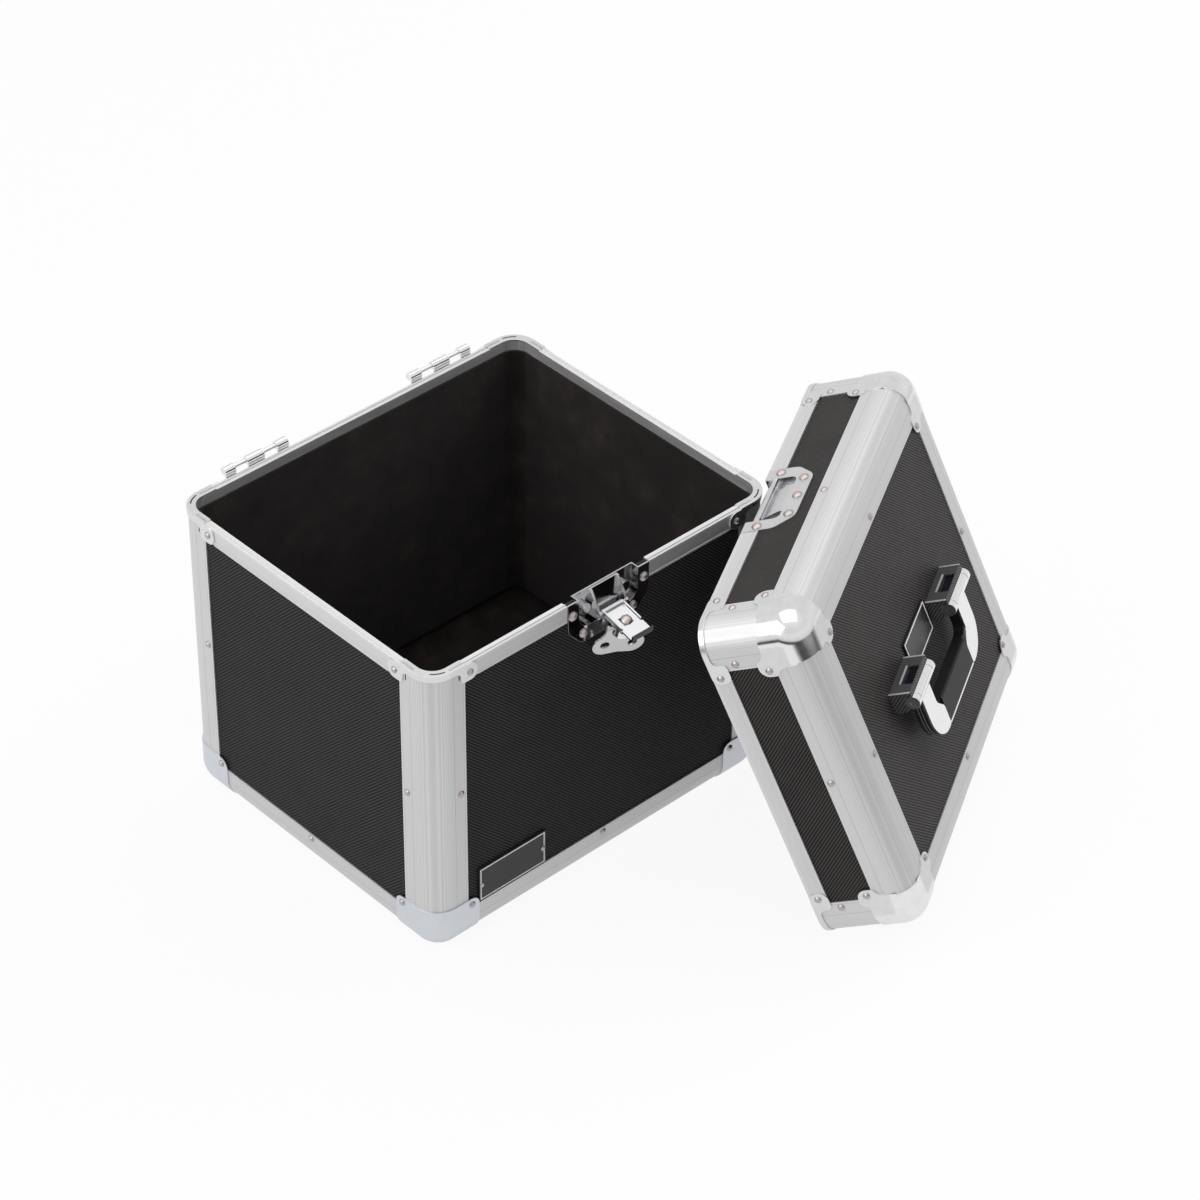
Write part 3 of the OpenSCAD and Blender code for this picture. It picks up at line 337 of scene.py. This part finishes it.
# ---------------------------------------------------------------- geometry helpers
def welded(node):
    """The CAD node as one bmesh, without double points and needless edges."""
    bm = bmesh.new()
    bm.from_mesh(NODES[node].data)
    bmesh.ops.remove_doubles(bm, verts=bm.verts, dist=2e-6)
    bmesh.ops.dissolve_limit(bm, angle_limit=math.radians(0.6), verts=bm.verts, edges=bm.edges)
    return bm


def shade(bm, angle=34):
    """Smooth faces, with the edges sharper than angle left hard."""
    for f in bm.faces:
        f.smooth = True
    for e in bm.edges:
        e.smooth = not (len(e.link_faces) != 2 or e.calc_face_angle(0) > math.radians(angle))


def weigh_normals(me, angle=38):
    """Corner normals from the faces round a vertex by their area, so that narrow bevels leave
    wide faces plain."""
    faces = [(f.normal.copy(), f.area) for f in me.polygons]
    around = [[] for v in me.vertices]
    for f in me.polygons:
        for v in f.vertices:
            around[v].append(f.index)
    least, normals = math.cos(math.radians(angle)), []
    for f in me.polygons:
        for v in f.vertices:
            near = [faces[i][0] * faces[i][1] for i in around[v] if faces[i][0].dot(f.normal) > least]
            normals.append(sum(near, Vector()).normalized() if near else f.normal)
    me.normals_split_custom_set(normals)


def piece(name, bm, mats, body):
    """A new object of this mesh that rides on the body."""
    me = bpy.data.meshes.new(name)
    bm.normal_update()
    bm.to_mesh(me)
    bm.free()
    me.update()
    weigh_normals(me)
    for m in mats:
        me.materials.append(m)
    ob = bpy.data.objects.new(name, me)
    bpy.context.scene.collection.objects.link(ob)
    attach(ob, body)
    return ob


def body_of(node):
    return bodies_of(NODES[node])[0]


def corner_depth(p, lid):
    """Distance in mm from the centre of the edge rounding, of a point of the case or the lid."""
    q = (LID.inverted() @ p if lid else p) / MM
    deep = (H - abs(q.x), D - abs(q.y), L - q.z if lid else q.z - F)
    return math.hypot(*(max(0.0, EDGE_R - d) for d in deep))


def dress(node, mat, width=0.0, inner=None):
    """The CAD node again, with its edges rounded by width in mm, and lined on the hollow of the corner."""
    bm = welded(node)
    if width:
        sharp = [e for e in bm.edges if len(e.link_faces) == 2 and e.calc_face_angle(0) > math.radians(30)]
        bmesh.ops.bevel(bm, geom=sharp, offset=width * MM, offset_type="OFFSET", segments=2, profile=0.5,
                        affect="EDGES", clamp_overlap=True)
    shade(bm)
    if inner:
        lid = node.startswith("lid")
        for f in bm.faces:
            f.material_index = int(HOLLOW[0] < corner_depth(f.calc_center_median(), lid) < HOLLOW[1])
    ob = piece(node + "_skin", bm, [mat, inner] if inner else [mat], body_of(node))
    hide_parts(node)
    return ob


def second_look(node, mat, other, place, where):
    """The node in mat, with other on the faces whose centre, in mm, and normal pass the test,
    both in the frame of place."""
    skin, home = dress(node, mat, 0.25), place.inverted()
    skin.data.materials.append(other)
    for f in skin.data.polygons:
        f.material_index = int(where(home @ f.center / MM, home.to_3x3() @ f.normal))


def rivet_seats(node):
    """Centre of the flat seat, outward normal, radius and height of each rivet head of a node."""
    bm = welded(node)
    left = set(bm.faces)
    while left:
        stack, seen = [left.pop()], []
        while stack:
            f = stack.pop()
            seen.append(f)
            for e in f.edges:
                for g in e.link_faces:
                    if g in left:
                        left.discard(g)
                        stack.append(g)
        seat = max(seen, key=lambda f: f.calc_area())
        pts = [v.co for v in seat.verts]
        base = sum(pts, Vector()) / len(pts)
        normal = -seat.normal.copy()
        high = max((v.co - base).dot(normal) for f in seen for v in f.verts)
        yield base, normal, max((q - base).length for q in pts), high
    bm.free()


RIVET_SIDES = 28
RIVET_RINGS = [  # radius and height of each ring, as shares of those of the head
    (1.0, 0.0), (1.0, 0.22), (0.92, 0.36), (0.84, 0.40), (0.78, 0.54), (0.60, 0.80), (0.32, 0.96)]
RIVET_SEAT = 3  # bands that belong to the dark seat ring


def rivet_head(bm, base, normal, radius, high):
    """One rivet: a dark seat ring and a domed head."""
    side = normal.orthogonal().normalized()
    other = normal.cross(side)
    turns = [2 * math.pi * i / RIVET_SIDES for i in range(RIVET_SIDES)]
    loops = []
    for r, h in RIVET_RINGS:
        middle = base + normal * high * h
        loops.append([bm.verts.new(middle + (side * math.cos(a) + other * math.sin(a)) * radius * r)
                      for a in turns])
    top = bm.verts.new(base + normal * high)
    bm.faces.new(list(reversed(loops[0]))).material_index = 1
    for n, (low, up) in enumerate(zip(loops, loops[1:])):
        for i in range(RIVET_SIDES):
            j = (i + 1) % RIVET_SIDES
            bm.faces.new((low[i], low[j], up[j], up[i])).material_index = int(n < RIVET_SEAT)
    for i in range(RIVET_SIDES):
        bm.faces.new((loops[-1][i], loops[-1][(i + 1) % RIVET_SIDES], top))


def rivet_heads(node):
    """The rivets of the node again, finer."""
    bm = bmesh.new()
    for seat in rivet_seats(node):
        rivet_head(bm, *seat)
    shade(bm, 50)
    ob = piece(node + "_heads", bm, [rivet_core, rivet_rim], body_of(node))
    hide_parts(node)


def bar_box(bm, place, x, y, z):
    """Box between the pairs x, y and z, in mm of the frame that place stands for."""
    corners = [place @ (Vector((a, b, c)) * MM) for c in z for b in y for a in x]
    v = [bm.verts.new(p) for p in corners]
    for q in ((0, 2, 3, 1), (4, 5, 7, 6), (0, 1, 5, 4), (2, 6, 7, 3), (0, 4, 6, 2), (1, 3, 7, 5)):
        bm.faces.new([v[i] for i in q])


def rounded_edges(bm, width):
    bmesh.ops.bevel(bm, geom=bm.edges[:], offset=width * MM, offset_type="OFFSET", segments=2, profile=0.5,
                    affect="EDGES", clamp_overlap=True)
    bmesh.ops.recalc_face_normals(bm, faces=bm.faces)


# ---------------------------------------------------------------- carried nodes
SAME = Matrix.Identity(4)
CARRIED = {
    panel_case_painted_shade: ["case_bottom_panel", "case_front_panel", "case_rear_panel",
                 "case_left_panel", "case_right_panel"],
    panel_lid_painted_light: ["lid_top_panel", "lid_front_panel", "lid_rear_panel", "lid_side_panels"],
    lining: ["case_wall_lining", "case_floor_lining"],
    lining_lid: ["lid_lining"],
    alu_post: ["case_post_front_left", "case_post_front_right", "case_post_rear_left",
               "case_post_rear_right"],
    lid_post: ["lid_posts"],
    alu_rim: ["case_rim_front", "case_rim_rear", "case_rim_left", "case_rim_right"],
    lid_rim: ["lid_rims_long", "lid_rims_short"],
    chrome: ["latch_hinge_pin", "case_hinge_rods", "handle_pins"],
}
for mat, names in CARRIED.items():
    for n in names:
        NODES[n].data.materials.clear()
        NODES[n].data.materials.append(mat)

# material, lining, rounding of the edges in mm, nodes
LINED = [
    (foot_metal, lining, 0.35, ["case_foot_front_left", "case_foot_front_right", "case_foot_rear_left",
                                "case_foot_rear_right"]),
    (ball_metal, lining_lid, 0.35, ["lid_ball_front_left", "lid_ball_front_right", "lid_ball_rear_left",
                                    "lid_ball_rear_right"]),
    (alu_long, lining, 0.0, ["case_bottom_edges_long"]),
    (alu_short, lining, 0.0, ["case_bottom_edges_short"]),
    (lid_long, lining_lid, 0.0, ["lid_top_edges_long"]),
    (lid_short, lining_lid, 0.0, ["lid_top_edges_short"]),
]
for mat, soft, width, names in LINED:
    for n in names:
        dress(n, mat, width, inner=soft)

# material, rounding of the edges in mm, nodes
DRESSED = [
    (nickel, 0.3, ["case_rim_clamps", "lid_rim_clamps"]),
    (dish_chrome_painted_reflection, 0.25, ["latch_dish", "latch_base"]),
    (chrome, 0.25, ["case_hinge_left", "case_hinge_right", "lid_hinge_hooks"]),
    (flap_satin, 0.25, ["latch_carrier", "latch_wing"]),
    (bracket_ribs_painted_reflection, 0.7, ["handle_bracket_left", "handle_bracket_right"]),
    (chrome, 0.5, ["handle_barrel_caps", "handle_bail", "handle_trim"]),
    (rubber, 1.5, ["handle_grip"]),
    (badge, 0.2, ["case_badge_plate", "lid_badge_plate"]),
]
for mat, width, names in DRESSED:
    for n in names:
        dress(n, mat, width)

# the head of the cam is bare metal like the rivets; the lip of the hook is darker, and the walls of the
# keeper's recess are painted darker, as painted shade and painted reflection in the recess
HEAD_Y, LIP_Y, LIP_Z = 2.4, 2.3, 30  # in the frame of the flap
WALL_Y = 1.2 - D  # in the frame of the lid, behind the keeper plate
second_look("latch_cam", chrome, rivet_core, FLAP, lambda at, out: at.y > HEAD_Y)
second_look("latch_hook", flap_satin, lip_dark, FLAP, lambda at, out: at.y > LIP_Y and at.z > LIP_Z)
second_look("latch_keeper", keeper_satin, keeper_walls_painted_shade, LID,
            lambda at, out: at.y > WALL_Y and abs(out.y) < 0.3)

rivet_heads("case_rivets")
rivet_heads("lid_rivets")

# ---------------------------------------------------------------- added pieces, sizes in mm
# light frame line on each badge plate: its width, its way in from the edges, how far it stands out of
# the plate and how far it reaches in
LINE_W, LINE_IN, LINE_OUT, LINE_SUNK = 1.3, 1.2, 0.15, 0.3
LID_BADGE = (-31.9, 35.1, -19.2, 12.3)
LID_BADGE_UP = 0.8


def frame_bars(x0, x1, y0, y1):
    """The four bars of the line on a badge plate with these edges, as limits along and across it."""
    x0, x1, y0, y1 = x0 + LINE_IN, x1 - LINE_IN, y0 + LINE_IN, y1 - LINE_IN
    between = (y0 + LINE_W, y1 - LINE_W)
    return (((x0, x1), (y0, y0 + LINE_W)), ((x0, x1), (y1 - LINE_W, y1)),
            ((x0, x0 + LINE_W), between), ((x1 - LINE_W, x1), between))


low, high = (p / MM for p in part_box("case_badge_plate"))
bm = bmesh.new()
for xs, zs in frame_bars(low.x, high.x, low.z, high.z):
    bar_box(bm, SAME, xs, (low.y - LINE_OUT, low.y + LINE_SUNK), zs)
piece("case_badge_line", bm, [white_line], "case")

bm = bmesh.new()
z = L + LID_BADGE_UP
for xs, ys in frame_bars(*LID_BADGE):
    bar_box(bm, LID, xs, ys, (z - LINE_SUNK, z + LINE_OUT))
piece("lid_badge_line", bm, [white_line], "lid")

# painted shade of the slots in the rim clamps of the case, as thin dark pieces: an arc on top and a slit
# beside each tab
ARC_RADII = (20.0, 21.2)
ARC_TURNS = [math.radians(-137 + 3.6 * i) for i in range(11)]
ARC_UP = 1.28
SLIT_X, SLIT_Y = (31.3, 32.2), (29.6, 30.5)  # from the sides of the case
SLIT_Z = (C - 12.8, C - 6.9)
SKIN = 0.2  # half thickness of the dark of a slit
bm = bmesh.new()
for sx in (-1, 1):
    for sy in (-1, 1):
        place = Matrix.Diagonal((-sx, -sy, 1, 1)).to_4x4()
        cx, cy = EDGE_R - H, EDGE_R - D
        ring = [[bm.verts.new(place @ (Vector((cx + r * math.cos(a), cy + r * math.sin(a), C + ARC_UP)) * MM))
                 for a in ARC_TURNS] for r in ARC_RADII]
        for i in range(len(ARC_TURNS) - 1):
            bm.faces.new((ring[0][i], ring[0][i + 1], ring[1][i + 1], ring[1][i]))
        bar_box(bm, place, tuple(x - H for x in SLIT_X), (-D - SKIN, -D + SKIN), SLIT_Z)
        bar_box(bm, place, (-H - SKIN, -H + SKIN), tuple(y - D for y in SLIT_Y), SLIT_Z)
bmesh.ops.recalc_face_normals(bm, faces=bm.faces)
piece("clamp_slot_shade", bm, [slot_painted_shade], "case")

# rivets of the hinge leaves, three on each leaf of the case and two on each leaf of the lid
HINGE_X = 105.5
LEAF_RIVET_R, LEAF_RIVET_HIGH = 3 * MM, 1.5 * MM
for name, place, z, spread, y, body in (("case_leaf_rivets", SAME, C - 23, (-23, 0, 23), D + 2.35, "case"),
                                        ("lid_leaf_rivets", LID, 27, (-23, 23), D + 2.15, "lid")):
    bm = bmesh.new()
    back = (place.to_3x3() @ Vector((0, 1, 0))).normalized()
    for side in (-1, 1):
        for x in spread:
            rivet_head(bm, place @ (Vector((side * HINGE_X + x, y, z)) * MM), back,
                       LEAF_RIVET_R, LEAF_RIVET_HIGH)
    shade(bm, 50)
    piece(name, bm, [rivet_core, rivet_rim], body)

# bright bar under the window of each bracket, bright end edges, and the dark window itself
WINDOW_HALF = 13
END_X = 27  # from the middle of the bracket to its end
BAR_Y, BAR_Z = (-11.9, -10.8), (L + 5.2, L + 6.9)
END_Y, END_Z = (-11.35, -10.6), (L - 1, L + 18.4)
GLASS_Y, GLASS_Z = (-9.3, -8.7), (L + 7.2, L + 17.3)
bars, glass = bmesh.new(), bmesh.new()
for side in (-1, 1):
    mid = (HANDLE_X + side * BRACKET_MID) / MM
    bar_box(bars, LID, (mid - WINDOW_HALF, mid + WINDOW_HALF), BAR_Y, BAR_Z)
    for end in (-1, 1):
        x = mid + end * END_X
        bar_box(bars, LID, tuple(sorted((x - end * 1.5, x + end * 0.25))), END_Y, END_Z)
    bar_box(glass, LID, (mid - WINDOW_HALF + 0.2, mid + WINDOW_HALF - 0.2), GLASS_Y, GLASS_Z)
rounded_edges(bars, 0.25)
piece("bracket_bars", bars, [bright_edge], "lid")
piece("bracket_windows", glass, [window], "lid")

# ---------------------------------------------------------------- floor, light, camera
FLOOR_HALF, FLOOR_Z = 6, -0.0005
FLOOR_WHITE, FLOOR_GLOSS, SKY_GLOSS = 0.92, 0.62, 0.76  # how white the camera and polished metal see them
floor = bpy.data.meshes.new("floor")
corners = ((-1, -1), (1, -1), (1, 1), (-1, 1))
floor.from_pydata([(x * FLOOR_HALF, y * FLOOR_HALF, FLOOR_Z) for x, y in corners], [], [(0, 1, 2, 3)])
floor_ob = bpy.data.objects.new("floor", floor)
bpy.context.scene.collection.objects.link(floor_ob)
k = Look("floor_pale")
k.set(Base_Color=(0.82, 0.82, 0.82, 1), Roughness=0.9, Specular_IOR_Level=0.0)
path = k.node("ShaderNodeLightPath").outputs
white = k.node("ShaderNodeEmission", {"Color": (1, 1, 1, 1), "Strength": 1.0}).outputs[0]
mirrored = k.math("ADD", path["Is Glossy Ray"], path["Is Transmission Ray"])
fac = k.math("ADD", k.math("MULTIPLY", path["Is Camera Ray"], FLOOR_WHITE),
             k.math("MULTIPLY", mirrored, FLOOR_GLOSS))
mix = k.node("ShaderNodeMixShader", {0: fac, 1: k.bsdf.outputs[0], 2: white}).outputs[0]
k.tree.links.new(mix, k.tree.nodes["Material Output"].inputs["Surface"])
floor.materials.append(k.mat)

world = bpy.data.worlds.new("studio")
bpy.context.scene.world = world
world.use_nodes = True
world.node_tree.nodes.clear()
sky = Nodes(world.node_tree)
up = sky.node("ShaderNodeSeparateXYZ", {0: sky.node("ShaderNodeTexCoord").outputs["Generated"]}).outputs["Z"]
soft = sky.node("ShaderNodeBackground", {
    "Color": sky.ramp(up, [(0.0, 0.12), (0.25, 0.5), (0.6, 0.18), (1.0, 1.0)]), "Strength": 1.0}).outputs[0]
white = sky.node("ShaderNodeBackground", {"Color": (1, 1, 1, 1), "Strength": 1.0}).outputs[0]
path = sky.node("ShaderNodeLightPath").outputs
fac = sky.math("MULTIPLY_ADD", path["Is Glossy Ray"], SKY_GLOSS,
               sky.math("ADD", path["Is Camera Ray"], path["Is Transmission Ray"]))
mix = sky.node("ShaderNodeMixShader", {0: fac, 1: soft, 2: white}).outputs[0]
sky.node("ShaderNodeOutputWorld", {"Surface": mix})


def lamp(name, at, to, size, power, streaks=True):
    """Soft lamp of power watts; without streaks it isn't mirrored in metal."""
    data = bpy.data.lights.new(name, "AREA")
    data.shape = "RECTANGLE"
    data.size, data.size_y = size
    data.energy = power
    ob = bpy.data.objects.new(name, data)
    ob.location = at
    ob.visible_glossy = streaks
    ob.rotation_euler = (Vector(to) - Vector(at)).to_track_quat("-Z", "Y").to_euler()
    bpy.context.scene.collection.objects.link(ob)


lamp("key_left", (-3.0, 0.4, 2.3), (0, 0, 0.15), (3.0, 2.4), 50)
lamp("top_soft", (0.3, 0.2, 3.2), (0.1, -0.1, 0.1), (3.0, 3.0), 26)
lamp("right_soft", (2.6, -0.7, 2.3), (0.2, -0.2, 0.2), (2.0, 2.0), 40, streaks=False)


def dark_band(name, first, last, radius, low, high, steps=32, fade=25):
    """Dark wall round the front of the stage between two angles in degrees, soft at its edges, that
    shows only in polished metal."""
    bm = bmesh.new()
    turns = [math.radians(first + (last - first) * i / steps) for i in range(steps + 1)]
    rows = [[bm.verts.new((radius * math.cos(a), radius * math.sin(a), z)) for a in turns]
            for z in (low, high)]
    for i in range(steps):
        bm.faces.new((rows[0][i], rows[0][i + 1], rows[1][i + 1], rows[1][i]))
    me = bpy.data.meshes.new(name)
    bm.to_mesh(me)
    bm.free()
    k = Look(name + "_dark")
    xyz = k.node("ShaderNodeSeparateXYZ", {0: k.coord()}).outputs
    up = k.ramp(k.span(xyz["Z"], low / MM, high / MM, 0, 1),
                [(0.0, 0.3), (0.25, 0.95), (0.6, 0.9), (1.0, 0.0)])
    half, middle = (last - first) / 2, (first + last) / 2 - 360
    off = k.math("ABSOLUTE", k.math("SUBTRACT", k.math("ARCTAN2", xyz["Y"], xyz["X"]), math.radians(middle)))
    around = k.span(off, math.radians(half - fade), math.radians(half), 1, 0)
    k.set(Base_Color=(0.012, 0.011, 0.010, 1), Roughness=0.9, Specular_IOR_Level=0.0,
          Alpha=k.math("MULTIPLY", up, around))
    me.materials.append(k.mat)
    ob = bpy.data.objects.new(name, me)
    bpy.context.scene.collection.objects.link(ob)
    ob.visible_camera = ob.visible_diffuse = ob.visible_shadow = ob.visible_transmission = False


dark_band("dark_wall", 160, 335, 1.0, 0.04, 0.30)

# the camera of the photograph: focal length and picture width in pixels, azimuth, elevation and roll,
# and in mm its distance, its shift to the side and up, and the height of the point that it turns round
FOCAL_PX, PHOTO_PX, SENSOR = 4043.9, 1200, 36.0
AZ, EL, ROLL = (math.radians(a) for a in (-133.2256, 38.2414, 0.6020))
DISTANCE, SHIFT_X, SHIFT_Y, MIDDLE_Z = 3554.454, 108.103, 21.662, 165.9
BACK = Vector((math.cos(EL) * math.cos(AZ), math.cos(EL) * math.sin(AZ), math.sin(EL)))
RIGHT = Vector((-math.sin(AZ), math.cos(AZ), 0))
UP = BACK.cross(RIGHT)
cam_x = math.cos(ROLL) * RIGHT + math.sin(ROLL) * UP
cam_y = -math.sin(ROLL) * RIGHT + math.cos(ROLL) * UP
spot = (BACK * DISTANCE + cam_x * SHIFT_X + cam_y * SHIFT_Y + Vector((0, 0, MIDDLE_Z))) * MM
data = bpy.data.cameras.new("camera")
data.sensor_width = SENSOR
data.lens = FOCAL_PX * SENSOR / PHOTO_PX
data.clip_start, data.clip_end = 0.1, 50
cam = bpy.data.objects.new("camera", data)
cam.matrix_world = Matrix((
    (cam_x.x, cam_y.x, BACK.x, spot.x), (cam_x.y, cam_y.y, BACK.y, spot.y),
    (cam_x.z, cam_y.z, BACK.z, spot.z), (0, 0, 0, 1)))
bpy.context.scene.collection.objects.link(cam)
bpy.context.scene.camera = cam
bpy.context.scene.view_settings.view_transform = "Standard"
